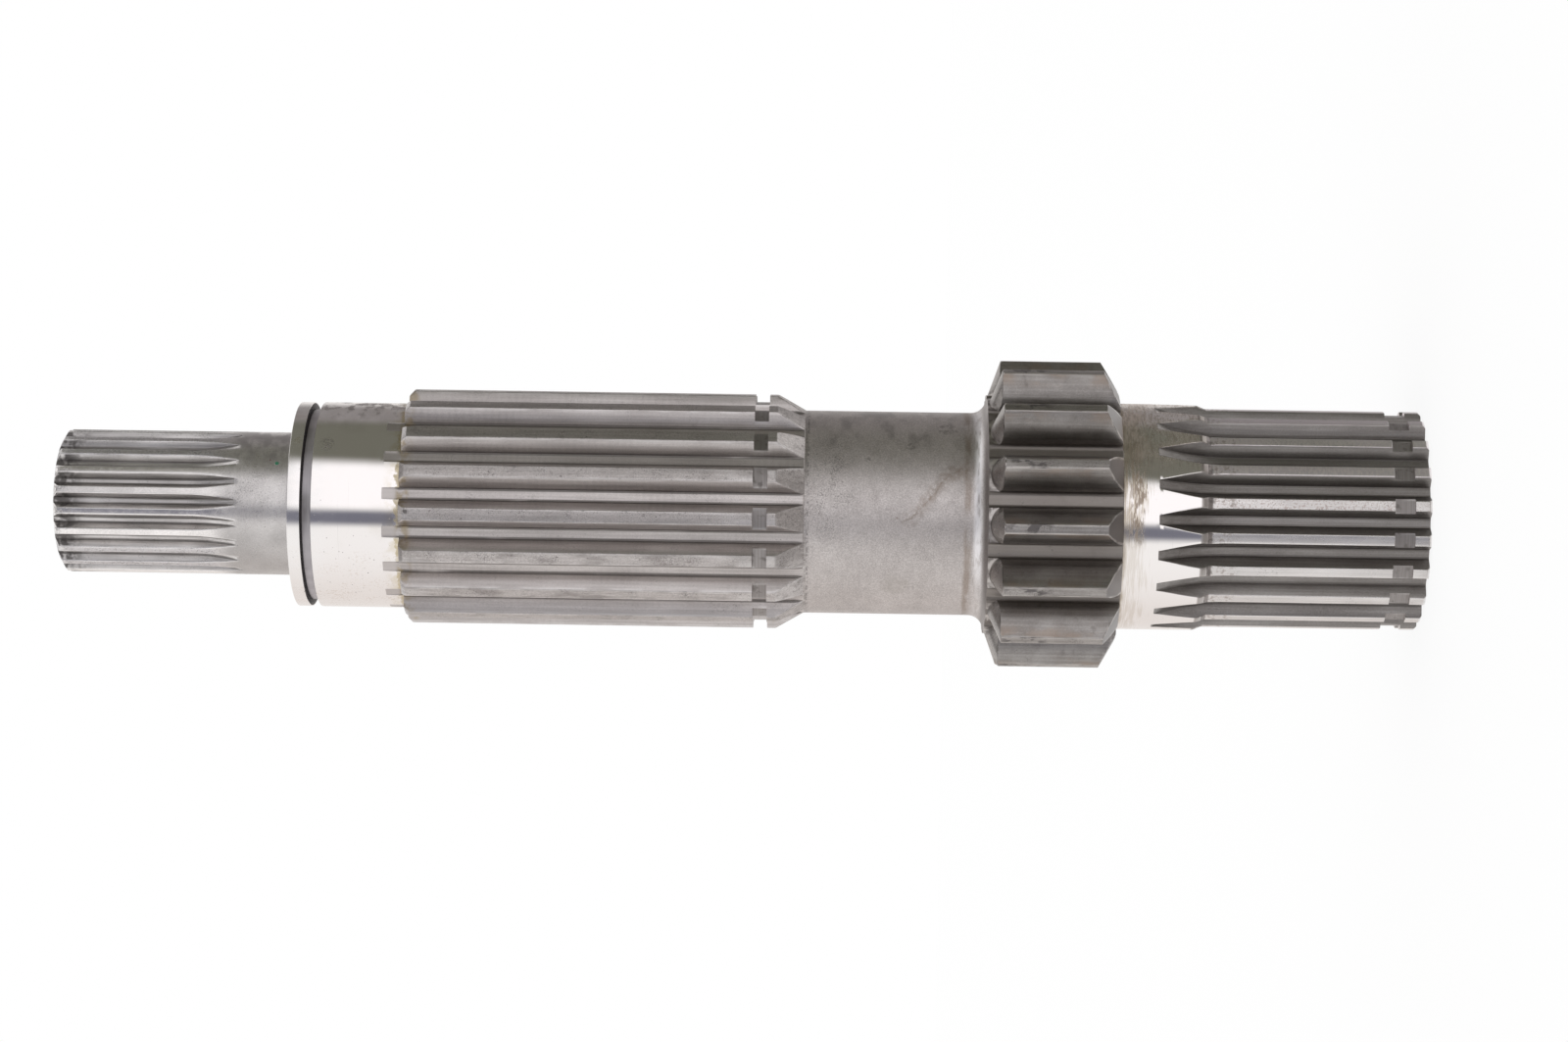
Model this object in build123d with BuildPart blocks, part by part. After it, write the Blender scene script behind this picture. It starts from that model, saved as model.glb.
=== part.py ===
from build123d import *

import os
from math import acos, atan, cos, degrees, radians, sin, tan

# Transmission shaft made from one steel bar: a pinion gear, three involute splines and two ground
# bearing journals. It stands on its larger end: the axis is Z and the origin is the centre of the
# lower end face. Sizes are in millimetres and angles in degrees.

inch = 25.4
cut_clearance = 1.0  # how far a cutter reaches past the metal that it removes

# Lengths along the axis, named from the lower end up.
lower_spline_length = 52.1
lower_crown_length = 1.9
lower_journal_length = 19.2
gear_width = 31.8
neck_length = 43.8
middle_spline_length = 89.8
upper_journal_length = 21.2
collar_groove_width = 2.6
collar_width = 3.1
upper_shank_length = 57.8

# Diameters.
lower_spline_diameter = 53.3
lower_journal_diameter = 55.0
gear_diameter = 75.0
neck_diameter = 49.4
middle_spline_diameter = 57.15
upper_journal_diameter = 50.0
collar_diameter = 49.9
collar_groove_diameter = 46.5
upper_shank_diameter = 34.9

# Retaining ring grooves cut across the spline teeth.
lower_ring_land = 3.9
lower_ring_width = 4.8
lower_ring_diameter = 51.3
middle_ring_land = 2.1
middle_ring_width = 3.4
middle_ring_diameter = 53.2

# Edges, cones and fillets of the turned blank.
lower_end_chamfer = 0.5
neck_cone_angle = 30.0
gear_face_diameter = 61.0
gear_chamfer_length = 4.0
gear_neck_fillet = 3.7
middle_end_chamfer = 1.1
shank_corner = 0.8
upper_end_chamfer_length = 1.15
upper_end_chamfer_depth = 2.0

# Involute splines, 30 degree flat root. The pitch is in teeth for each inch of pitch diameter,
# and each direction is the polar angle of one tooth.
spline_pressure_angle = 30.0
lower_teeth = 20
lower_pitch = 10
lower_space_width = 4.2
lower_root_diameter = 47.4
lower_slot_length = 64.5
lower_hob_radius = 38.0
lower_tooth_direction = -82.65
middle_teeth = 17
middle_pitch = 8
middle_space_width = 5.15
middle_root_diameter = 49.7
middle_hob_radius = 55.0
middle_tooth_direction = -94.25
upper_teeth = 21
upper_pitch = 16
upper_space_width = 2.55
upper_root_diameter = 31.2
upper_slot_length = 43.8
upper_hob_radius = 38.0
upper_tooth_direction = -81.2

# Pinion gear.
gear_teeth = 15
gear_pitch = 6
gear_pressure_angle = 20.0
gear_space_width = 5.3
gear_root_diameter = 57.0
gear_root_fillet = 1.0
gear_tooth_direction = -95.2

# Rounded ends of the gear teeth on the neck side, where the mating gear slides in.
tooth_end_floor_diameter = 58.2
tooth_end_land = 0.4
tooth_end_slope_length = 3.0
tooth_end_radius = 5.2

# Lathe centres in the two end faces.
centre_cone_angle = 60.0
lower_centre_diameter = 12.5
lower_centre_pilot = 5.0
lower_centre_depth = 13.0
upper_centre_diameter = 8.5
upper_centre_pilot = 3.2
upper_centre_depth = 9.0

# Radii and stations that follow from the sizes above.
lower_spline_radius = lower_spline_diameter / 2
lower_journal_radius = lower_journal_diameter / 2
gear_radius = gear_diameter / 2
neck_radius = neck_diameter / 2
middle_spline_radius = middle_spline_diameter / 2
upper_journal_radius = upper_journal_diameter / 2
collar_radius = collar_diameter / 2
upper_shank_radius = upper_shank_diameter / 2
neck_cone_length = (middle_spline_radius - neck_radius) / tan(radians(neck_cone_angle))
crown_foot = lower_spline_length
journal_foot = crown_foot + lower_crown_length
gear_bottom = journal_foot + lower_journal_length
gear_top = gear_bottom + gear_width
cone_foot = gear_top + neck_length
middle_bottom = cone_foot + neck_cone_length
middle_top = middle_bottom + middle_spline_length
groove_bottom = middle_top + upper_journal_length
groove_top = groove_bottom + collar_groove_width
shoulder = groove_top + collar_width
shaft_top = shoulder + upper_shank_length


def involute(angle):
    """Involute function of a pressure angle in radians."""
    return tan(angle) - angle


def tooth_space(pitch_radius, pressure_angle, space_width, root_radius, outer_radius, flank_curve):
    """Outline of one tooth space around the X axis, from its root to outside the teeth."""
    pressure = radians(pressure_angle)
    base_radius = pitch_radius * cos(pressure)

    def flank_point(radius, side):
        opening = space_width / pitch_radius / 2 - involute(pressure)
        half_angle = opening + involute(acos(base_radius / radius))
        return Vector(radius * cos(half_angle), side * radius * sin(half_angle))

    flank_foot = max(base_radius, root_radius)
    flank_radii = (flank_foot, (flank_foot + outer_radius) / 2, outer_radius)
    root_corners = [flank_point(flank_foot, side) * (root_radius / flank_foot) for side in (1, -1)]
    with BuildSketch(mode=Mode.PRIVATE) as outline:
        with BuildLine():
            Line(root_corners)
            for side, root_corner in zip((1, -1), root_corners):
                if base_radius > root_radius:
                    Line(root_corner, flank_point(flank_foot, side))
                flank_curve([flank_point(radius, side) for radius in flank_radii])
            ThreePointArc(flank_point(outer_radius, 1), (outer_radius, 0), flank_point(outer_radius, -1))
        make_face()
    return outline.sketch


def slot_cutter(space, bottom, top, root_radius, hob_radius, way):
    """One slot between two heights, which the round hob leaves at its top (way 1) or bottom (-1)."""
    run_out_angle = degrees(acos(1 - (space.bounding_box().max.X - root_radius) / hob_radius))
    run_out_height = top if way > 0 else bottom
    hob_axis = Axis((root_radius + hob_radius, 0, run_out_height), (0, way, 0))
    with BuildPart(mode=Mode.PRIVATE) as slot:
        with BuildSketch(Plane.XY.offset(bottom)):
            add(space)
        extrude(amount=top - bottom)
        with BuildSketch(Plane.XY.offset(run_out_height)) as last_section:
            add(space)
        revolve(last_section.sketch, axis=hob_axis, revolution_arc=run_out_angle)
    return slot.part


def run_out_length(surface_radius, root_radius, hob_radius):
    """Length along the shaft in which a round hob rises from the root to the surface."""
    return hob_radius * sin(acos(1 - (surface_radius - root_radius) / hob_radius))


def centre_hole(diameter, pilot_diameter, depth, end_height, way):
    """Lathe centre in an end face, sunk along way: 1 upwards, -1 downwards."""
    cone_depth = (diameter - pilot_diameter) / 2 / tan(radians(centre_cone_angle / 2))
    with BuildPart(mode=Mode.PRIVATE) as hole:
        with BuildSketch(Plane.XZ):
            with BuildLine():
                Polyline(
                    (0, end_height),
                    (diameter / 2, end_height),
                    (pilot_diameter / 2, end_height + way * cone_depth),
                    (pilot_diameter / 2, end_height + way * depth),
                    (0, end_height + way * depth),
                    close=True,
                )
            make_face()
        revolve(axis=Axis.Z)
    return hole.part


# Cutters: one tooth space of each spline and of the gear, lying around the X axis.
lower_root_radius = lower_root_diameter / 2
lower_space = tooth_space(
    lower_teeth * inch / lower_pitch / 2,
    spline_pressure_angle,
    lower_space_width,
    lower_root_radius,
    lower_journal_radius + cut_clearance,
    Spline,
)
lower_full_depth = lower_slot_length - run_out_length(
    lower_journal_radius, lower_root_radius, lower_hob_radius
)
lower_slot = slot_cutter(
    lower_space, -cut_clearance, lower_full_depth, lower_root_radius, lower_hob_radius, 1
)

middle_root_radius = middle_root_diameter / 2
middle_space = tooth_space(
    middle_teeth * inch / middle_pitch / 2,
    spline_pressure_angle,
    middle_space_width,
    middle_root_radius,
    middle_spline_radius + cut_clearance,
    ThreePointArc,
)
middle_slot = slot_cutter(
    middle_space, cone_foot - cut_clearance, middle_top, middle_root_radius, middle_hob_radius, 1
)

upper_root_radius = upper_root_diameter / 2
upper_space = tooth_space(
    upper_teeth * inch / upper_pitch / 2,
    spline_pressure_angle,
    upper_space_width,
    upper_root_radius,
    upper_shank_radius + cut_clearance,
    Spline,
)
upper_full_depth = shaft_top - upper_slot_length + run_out_length(
    upper_shank_radius, upper_root_radius, upper_hob_radius
)
upper_slot = slot_cutter(
    upper_space, upper_full_depth, shaft_top + cut_clearance, upper_root_radius, upper_hob_radius, -1
)

gear_space = tooth_space(
    gear_teeth * inch / gear_pitch / 2,
    gear_pressure_angle,
    gear_space_width,
    gear_root_diameter / 2,
    gear_radius + cut_clearance,
    ThreePointArc,
)
gear_root_corners = gear_space.vertices().sort_by_distance((0, 0, 0))[:2]
gear_space = fillet(gear_root_corners, gear_root_fillet)

# The rounded end that stays on one gear tooth: a cylinder whose line along the middle of the tooth
# slopes from the root land down to the tip.
tooth_end_floor = tooth_end_floor_diameter / 2
tooth_end_slope = atan(tooth_end_slope_length / (gear_radius - tooth_end_floor))
tooth_end_plane = Plane(
    origin=(tooth_end_floor, 0, gear_top - tooth_end_land),
    x_dir=(0, 1, 0),
    z_dir=(cos(tooth_end_slope), 0, -sin(tooth_end_slope)),
)
tooth_end_reach = tooth_end_land + tooth_end_slope_length + tooth_end_radius
with BuildPart() as tooth_end:
    with BuildSketch(tooth_end_plane):
        with Locations((0, -tooth_end_radius)):
            Circle(tooth_end_radius)
            Rectangle(
                2 * tooth_end_radius, 2 * tooth_end_reach, align=(Align.CENTER, Align.MAX)
            )
    extrude(amount=gear_radius - tooth_end_floor + 2 * tooth_end_radius, both=True)

with BuildPart() as tooth_end_cut:
    with BuildSketch(Plane.XY.offset(gear_top - tooth_end_reach)):
        Circle(gear_radius + cut_clearance)
        Circle(tooth_end_floor, mode=Mode.SUBTRACT)
    extrude(amount=tooth_end_reach + cut_clearance)
    with PolarLocations(0, gear_teeth, gear_tooth_direction):
        add(tooth_end.part, mode=Mode.SUBTRACT)

# The shaft: the turned blank, then the slots, the tooth spaces and the centres.
with BuildPart() as splined_shaft:
    with BuildSketch(Plane.XZ):
        with BuildLine():
            Polyline(
                (neck_radius + gear_neck_fillet, gear_top),
                (gear_radius, gear_top),
                (gear_radius, gear_bottom + gear_chamfer_length),
                (gear_face_diameter / 2, gear_bottom),
                (lower_journal_radius, gear_bottom),
                (lower_journal_radius, journal_foot),
                (lower_spline_radius, crown_foot),
                (lower_spline_radius, lower_ring_land + lower_ring_width),
                (lower_ring_diameter / 2, lower_ring_land + lower_ring_width),
                (lower_ring_diameter / 2, lower_ring_land),
                (lower_spline_radius, lower_ring_land),
                (lower_spline_radius, lower_end_chamfer),
                (lower_spline_radius - lower_end_chamfer, 0),
                (0, 0),
                (0, shaft_top),
                (upper_shank_radius - upper_end_chamfer_depth, shaft_top),
                (upper_shank_radius, shaft_top - upper_end_chamfer_length),
                (upper_shank_radius, shoulder + shank_corner),
            )
            Polyline(
                (upper_shank_radius, shoulder + shank_corner),
                (upper_shank_radius + shank_corner, shoulder),
                (collar_radius, shoulder),
                (collar_radius, groove_top),
                (collar_groove_diameter / 2, groove_top),
                (collar_groove_diameter / 2, groove_bottom),
                (upper_journal_radius, groove_bottom),
                (upper_journal_radius, middle_top),
                (middle_spline_radius - middle_end_chamfer, middle_top),
                (middle_spline_radius, middle_top - middle_end_chamfer),
                (middle_spline_radius, middle_bottom + middle_ring_land + middle_ring_width),
                (middle_ring_diameter / 2, middle_bottom + middle_ring_land + middle_ring_width),
                (middle_ring_diameter / 2, middle_bottom + middle_ring_land),
                (middle_spline_radius, middle_bottom + middle_ring_land),
                (middle_spline_radius, middle_bottom),
                (neck_radius, cone_foot),
                (neck_radius, gear_top + gear_neck_fillet),
            )
            Spline(
                (neck_radius, gear_top + gear_neck_fillet),
                (neck_radius + gear_neck_fillet, gear_top),
                tangents=((0, -1), (1, 0)),
            )
        make_face()
    revolve(axis=Axis.Z)

    with PolarLocations(0, lower_teeth, lower_tooth_direction + 180 / lower_teeth):
        add(lower_slot, mode=Mode.SUBTRACT)
    with PolarLocations(0, middle_teeth, middle_tooth_direction + 180 / middle_teeth):
        add(middle_slot, mode=Mode.SUBTRACT)
    with PolarLocations(0, upper_teeth, upper_tooth_direction + 180 / upper_teeth):
        add(upper_slot, mode=Mode.SUBTRACT)

    with BuildSketch(Plane.XY.offset(gear_bottom)):
        with PolarLocations(0, gear_teeth, gear_tooth_direction + 180 / gear_teeth):
            add(gear_space)
    extrude(amount=gear_width, mode=Mode.SUBTRACT)
    add(tooth_end_cut.part, mode=Mode.SUBTRACT)

    add(
        centre_hole(lower_centre_diameter, lower_centre_pilot, lower_centre_depth, 0, 1),
        mode=Mode.SUBTRACT,
    )
    add(
        centre_hole(upper_centre_diameter, upper_centre_pilot, upper_centre_depth, shaft_top, -1),
        mode=Mode.SUBTRACT,
    )

os.makedirs("parts", exist_ok=True)
splined_shaft.part.label = "splined_shaft"
export_step(splined_shaft.part, "parts/splined_shaft.step")
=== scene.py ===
"""Looks of the splined pinion shaft.

One fine mesh holds the turned and hobbed form, with the splines' run-outs, the rounded tooth ends and the
broken edges. Each finished surface has its own worn steel, made from noise in the shaft's own axes.
"""

from functools import partial, reduce
from math import acos, atan2, cos, hypot, pi, radians, sin, sqrt, tan

import bmesh
import bpy
from mathutils import Matrix, Vector


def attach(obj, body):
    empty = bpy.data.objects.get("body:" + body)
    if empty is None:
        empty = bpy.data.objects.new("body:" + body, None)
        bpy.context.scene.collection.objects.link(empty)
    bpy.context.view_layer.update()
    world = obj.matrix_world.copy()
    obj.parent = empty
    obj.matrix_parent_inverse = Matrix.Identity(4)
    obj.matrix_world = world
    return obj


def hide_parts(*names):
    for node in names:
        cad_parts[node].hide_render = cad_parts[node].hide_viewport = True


MM = 0.001

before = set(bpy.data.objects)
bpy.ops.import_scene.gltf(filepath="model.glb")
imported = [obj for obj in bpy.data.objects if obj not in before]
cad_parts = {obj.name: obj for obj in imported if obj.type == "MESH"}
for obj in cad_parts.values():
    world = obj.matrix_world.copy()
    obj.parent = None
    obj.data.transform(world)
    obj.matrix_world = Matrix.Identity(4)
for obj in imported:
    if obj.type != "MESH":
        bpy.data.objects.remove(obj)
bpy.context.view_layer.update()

# ----------------------------------------
# Sizes in millimetres and angles in degrees. z runs up from the large end, which has the lower spline.
# A slot has its full depth as far as "full" and runs out "way" from there; "knots" are the mesh's radii.

LOWER = dict(teeth=20, pitch=25.4, width=4.2, root=23.7, hob=38.0, turn=-82.65, full=47.9, way=1,
             pressure=30, tip=26.65, knots=(24.6, 25.65, 26.2))
MIDDLE = dict(teeth=17, pitch=26.9875, width=5.15, root=24.85, hob=55.0, turn=-94.25, full=245.31, way=1,
              pressure=30, tip=28.575, knots=(25.6, 26.6, 27.6))
UPPER = dict(teeth=21, pitch=16.669, width=2.55, root=15.6, hob=38.0, turn=-81.2, full=297.4, way=-1,
             pressure=30, tip=17.45, knots=(16.1, 16.7, 17.1))
GEAR = dict(teeth=15, pitch=31.75, width=5.3, root=28.5, turn=-95.2, pressure=20,
            knots=(30.9, 32.3, 34.0, 35.7, 36.9, 40.0))

LOWER_JOURNAL, NECK, UPPER_JOURNAL = 27.5, 24.7, 25.0  # radii
GEAR_TIP, GEAR_LOW, GEAR_HIGH, GEAR_FILLET = 37.5, 73.2, 105.0, 1.0
END_FLOOR, END_LAND, END_SLOPE, END_RADIUS = 29.1, 0.4, 3.0, 5.2  # of the teeth's rounded ends
COLLAR_HIGH = 272.21

# Roundings of edges and root corners, and the shares of them that lie along a flank.
ROOT_ROUNDING, EDGE_ROUNDING, GEAR_EDGE = 0.3, 0.14, 0.18
FOOT_SHARE, SHOULDER_SHARE = 0.85, 0.8
# Points from the middle of a gear space to its base circle, and to the edge of its tooth.
GEAR_FOOT, GEAR_SLOT = 7, 13
PLAIN = 99  # the index of a point that belongs to no tooth
AXIS = 0.001  # the radius at which an end face closes
WELD = 0.004 * MM  # points of two rings that lie closer than this become one
SHARP_ANGLE = 32  # steeper edges than this stay sharp


def placed(name, data):
    obj = bpy.data.objects.new(name, data)
    bpy.context.scene.collection.objects.link(obj)
    return obj


def involute(angle):
    return tan(angle) - angle


def space_point(s, radius):
    """A tooth space's flank at a radius, with the middle of the space on the x axis."""
    pressure = radians(s["pressure"])
    base = s["pitch"] * cos(pressure)
    opening = s["width"] / s["pitch"] / 2 - involute(pressure)
    half = opening + involute(acos(min(1, base / max(radius, base))))
    return radius * cos(half), radius * sin(half)


def lifted(s, x, past):
    """Where the round hob leaves a point of the section, at a distance past the full depth's end."""
    if past <= 0:
        return x
    centre = s["root"] + s["hob"]
    return centre - sqrt(max((centre - x) ** 2 - past * past, 0))


def bisect(f, low, high):
    """Where f goes from positive at low to negative at high."""
    for _ in range(40):
        mid = (low + high) / 2
        if f(mid) > 0:
            low = mid
        else:
            high = mid
    return (low + high) / 2


def polar(x, y):
    return atan2(y, x), hypot(x, y)


def softened(a, corner, b):
    """Middle of a small rounding between a and b."""
    return tuple(0.25 * a[i] + 0.5 * corner[i] + 0.25 * b[i] for i in (0, 1))


def half_slot(s, z, radius, flush):
    """Half of one spline slot and its tooth, from the slot's middle to the tooth's, as (angle, radius)."""
    past = max(0, (z - s["full"]) * s["way"])
    root = s["root"]
    x_root, y_root = space_point(s, root)
    bottom = lifted(s, x_root, past)

    def at(rho):
        x, y = space_point(s, rho)
        return lifted(s, x, past), y

    def inside(rho):
        return radius - hypot(*at(rho))

    edge = bisect(inside, root, root + 12) if inside(root) > 0 else root
    depth = edge - root
    rounding = min(ROOT_ROUNDING, 0.5 * depth, 0.6 * y_root)
    edge_rounding = 0 if flush else min(EDGE_ROUNDING, 0.3 * depth)
    foot = root + FOOT_SHARE * rounding
    shoulder = edge - SHOULDER_SHARE * edge_rounding
    flat_end = (bottom, y_root - rounding)
    points = [(bottom, 0), (bottom, 0.5 * y_root), flat_end]
    points += [softened(flat_end, (bottom, y_root), at(foot)), at(foot)]
    first, last = root + FOOT_SHARE * ROOT_ROUNDING, s["tip"] - SHOULDER_SHARE * EDGE_ROUNDING
    for knot in s["knots"]:
        if past > 0 or radius > s["tip"]:
            points.append(at(foot + (knot - first) / (last - first) * (shoulder - foot)))
        else:
            points.append(at(min(max(knot, foot), shoulder)))
    a, b = at(shoulder), at(edge)
    if hypot(*b) > radius:
        b = (sqrt(radius * radius - b[1] * b[1]), b[1])
    turn = atan2(b[1], b[0]) + edge_rounding / radius
    c = (radius * cos(turn), radius * sin(turn))
    points += [a, softened(a, b, c), c]
    out = []
    for x, y in points:
        if hypot(x, y) > radius:
            x = sqrt(radius * radius - y * y)
        out.append(polar(x, y))
    half_pitch = pi / s["teeth"]
    return out + [(turn + (half_pitch - turn) * share, radius) for share in (0.35, 0.7, 1)]


def gear_line(s):
    """Root, fillet, radial foot and involute of one half of a gear space."""
    x_root, y_root = space_point(s, s["root"])
    base = s["pitch"] * cos(radians(s["pressure"]))
    slant = atan2(y_root, x_root)
    ux, uy = cos(slant), sin(slant)
    r = GEAR_FILLET
    centre_x = x_root + r
    centre_y = (centre_x * uy - r) / ux
    reach = centre_x * ux + centre_y * uy
    end = atan2(reach * uy - centre_y, reach * ux - centre_x)
    line = [(x_root, 0), (x_root, 0.4 * y_root)]
    for i in range(5):
        a = pi + (end - pi) * i / 4
        line.append((centre_x + r * cos(a), centre_y + r * sin(a)))
    line.append((base * ux, base * uy))
    return line + [space_point(s, rho) for rho in s["knots"]]


def gear_half(z, radius):
    """Half of one gear space and its tooth, from the space's middle to the tooth's."""
    s = GEAR
    half_pitch = pi / s["teeth"]
    line = gear_line(s)
    slope = atan2(END_SLOPE, GEAR_TIP - END_FLOOR)
    height = z - (GEAR_HIGH - END_LAND)

    def top(y):
        """Outline at the tooth's end, where y is measured from the tooth's middle."""
        x = sqrt(radius * radius - y * y)
        if z < GEAR_HIGH - 2 * END_SLOPE:
            return x
        end_x = 0
        if abs(y) < END_RADIUS:
            drop = sqrt(END_RADIUS ** 2 - y * y) - END_RADIUS
            end_x = END_FLOOR + (drop - height * cos(slope)) / sin(slope)
        return max(sqrt(END_FLOOR ** 2 - y * y), min(x, end_x))

    def tooth_axes(x, y):
        a, rho = polar(x, y)
        return rho * cos(half_pitch - a), rho * sin(half_pitch - a)

    def free(x, y):
        tx, ty = tooth_axes(x, y)
        return top(ty) - tx

    cut = next(i for i, point in enumerate(line) if i and free(*point) <= 0)
    p, q = line[cut - 1], line[cut]
    if cut <= GEAR_FOOT:
        t = bisect(lambda t: free(p[0] + (q[0] - p[0]) * t, p[1] + (q[1] - p[1]) * t), 0, 1)
        hit = (p[0] + (q[0] - p[0]) * t, p[1] + (q[1] - p[1]) * t)
    else:
        hit = space_point(s, bisect(lambda rho: free(*space_point(s, rho)), hypot(*p), hypot(*q)))
    points = [polar(x, y) for x, y in line[:cut] + [hit] * (GEAR_SLOT - cut)]
    if z <= GEAR_HIGH - END_LAND - END_SLOPE - 0.25:
        inner = space_point(s, hypot(*hit) - 0.9 * GEAR_EDGE)
        points = [point if point[1] < hypot(*inner) else polar(*inner) for point in points]
        turn = atan2(hit[1], hit[0]) + GEAR_EDGE / radius
        outer = (radius * cos(turn), radius * sin(turn))
        points += [polar(*inner), polar(*softened(inner, hit, outer)), (turn, radius)]
        return points + [(turn + (half_pitch - turn) * share, radius) for share in (0.25, 0.5, 0.75, 0.9, 1)]

    # the tooth's end: an arc of the floor if it shows, then the rounded face up to the tooth's middle
    tx, ty = tooth_axes(*hit)
    floor_y = ty
    if tx <= sqrt(END_FLOOR ** 2 - ty * ty) + 1e-6:
        floor_y = 0.0
        if top(0) > END_FLOOR + 1e-6:
            floor_y = bisect(lambda y: top(y) - sqrt(END_FLOOR ** 2 - y * y) - 1e-7, 0.0, ty)
    for y in [ty, (ty + floor_y) / 2, floor_y] + [floor_y * share for share in (0.8, 0.6, 0.4, 0.2, 0)]:
        a, rho = polar(top(y), y)
        points.append((half_pitch - a, rho))
    return points


# ----------------------------------------
# The mesh is a stack of rings. Each ring is (points, zone, worn); a point is (angle, radius, z, index),
# where index counts from the middle of a tooth space, so it tells slot, edge and land apart.

SPLINE_PARTS = dict(slot=8, edge=range(8, 11), root=range(2, 5))
GEAR_PARTS = dict(slot=GEAR_SLOT, edge=range(GEAR_SLOT, 16), root=range(3, 7))
# The finishes of a zone's slots and of its lands.
ZONES = {
    "end": ("end_face", "end_face"),
    "lower_spline": ("lower_slot", "lower_land"),
    "ring_groove": ("lower_slot", "ring_groove"),
    "lower_tips": ("lower_slot", "lower_journal"),
    "lower_journal": ("lower_journal", "lower_journal"),
    "gear": ("gear_flank", "gear_land"),
    "gear_end": ("gear_flank", "gear_end"),
    "neck": ("neck", "neck"),
    "middle_spline": ("middle_slot", "middle_land"),
    "middle_groove": ("middle_slot", "ring_groove"),
    "upper_tips": ("middle_slot", "upper_journal"),
    "upper_journal": ("upper_journal", "upper_journal"),
    "collar_groove": ("collar_groove", "collar_groove"),
    "shank": ("upper_slot", "shank"),
}
MATERIALS = sorted({name for pair in ZONES.values() for name in pair})

rings = []


def parts_of(zone):
    return GEAR_PARTS if zone.startswith("gear") else SPLINE_PARTS


def full_ring(s, half, z):
    """All teeth of one ring, from one half pitch."""
    steps = list(enumerate(half))
    one = [(-angle, radius, i) for i, (angle, radius) in steps[:0:-1]]
    one += [(angle, radius, i) for i, (angle, radius) in steps[:-1]]
    points = []
    for tooth in range(s["teeth"]):
        turn = radians(s["turn"]) + (2 * tooth + 1) * pi / s["teeth"]
        points += [(angle + turn, radius, z, i) for angle, radius, i in one]
    return points


def rounded(corners):
    """(z, radius, worn) along a turned profile. A corner is (z, radius) and may add its rounding."""
    out = []
    for i, corner in enumerate(corners):
        z, r = corner[:2]
        size = corner[2] if len(corner) > 2 else 0
        if not size:
            out.append((z, r, 0))
            continue
        ends = []
        for other in (corners[i - 1], corners[i + 1]):
            dz, dr = other[0] - z, other[1] - r
            step = min(size, 0.4 * hypot(dz, dr)) / hypot(dz, dr)
            ends.append((z + dz * step, r + dr * step))
        out += [(*ends[0], 1), (*softened(ends[0], (z, r), ends[1]), 1), (*ends[1], 1)]
    return out


def spline_rings(s, zone, corners, flush=False):
    for z, r, worn in rounded(corners):
        rings.append((full_ring(s, half_slot(s, z, r, flush), z), zone, worn))


def plain_rings(zone, corners, count=192):
    for z, r, worn in rounded(corners):
        rings.append(([(2 * pi * i / count, r, z, PLAIN) for i in range(count)], zone, worn))


def gear_rings(zone, places):
    for z, r in places:
        rings.append((full_ring(GEAR, gear_half(z, r), z), zone, 0))


def gear_face_ring(z, outline_radius, most):
    """A ring in the gear's end face, which follows the tooth spaces inside a radius."""
    half = [(angle, min(radius, most)) for angle, radius in gear_half(z, outline_radius)]
    rings.append((full_ring(GEAR, half, z), "gear_end", 0))


def at_heights(radius, *heights):
    return [(z, radius) for z in heights]


def shape_lower_end():
    # the lathe centre, with its pilot hole
    pilot, pilot_depth, mouth, cone_depth = 2.5, 13, 6.25, 6.495
    plain_rings("end", [(pilot_depth, AXIS), (pilot_depth, pilot), (cone_depth, pilot), (0, mouth, 0.15),
                        (0, 8)], 96)
    plain_rings("end", [(0, 14), (0, 21.5)], 260)
    spline_rings(LOWER, "end", [(0, 23.2)])
    tip, ring, ring_low, ring_high = LOWER["tip"], 25.65, 3.9, 8.7
    spline_rings(LOWER, "lower_spline", [
        (0, 25.9), (0, 26.15, 0.1), (0.5, tip, 0.15), (ring_low, tip, 0.13), (ring_low, ring)])
    spline_rings(LOWER, "ring_groove", [(ring_low, ring), (ring_high, ring)], True)
    # a crown leads from the spline to the journal, where the slots run out
    crown_low, crown_middle, crown_high, crown_radius = 52.1, 53.0, 54.0, 27.0526
    spline_rings(LOWER, "lower_spline", [
        (ring_high, ring), (ring_high, tip, 0.13), *at_heights(tip, 20, 34, LOWER["full"], 48.8, 49.9, 51.1),
        (crown_low, tip, 0.2), (crown_middle, crown_radius)])
    run_out = 55.2, 56.4, 57.6, 58.8, 60, 61, 62, 62.8, 63.5, 64, 64.3, 64.5, 64.6
    spline_rings(LOWER, "lower_tips", [
        (crown_middle, crown_radius), (crown_high, LOWER_JOURNAL, 0.2), *at_heights(LOWER_JOURNAL, *run_out)])
    plain_rings("lower_journal", at_heights(LOWER_JOURNAL, 65.6, 69, 71.8))


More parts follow.
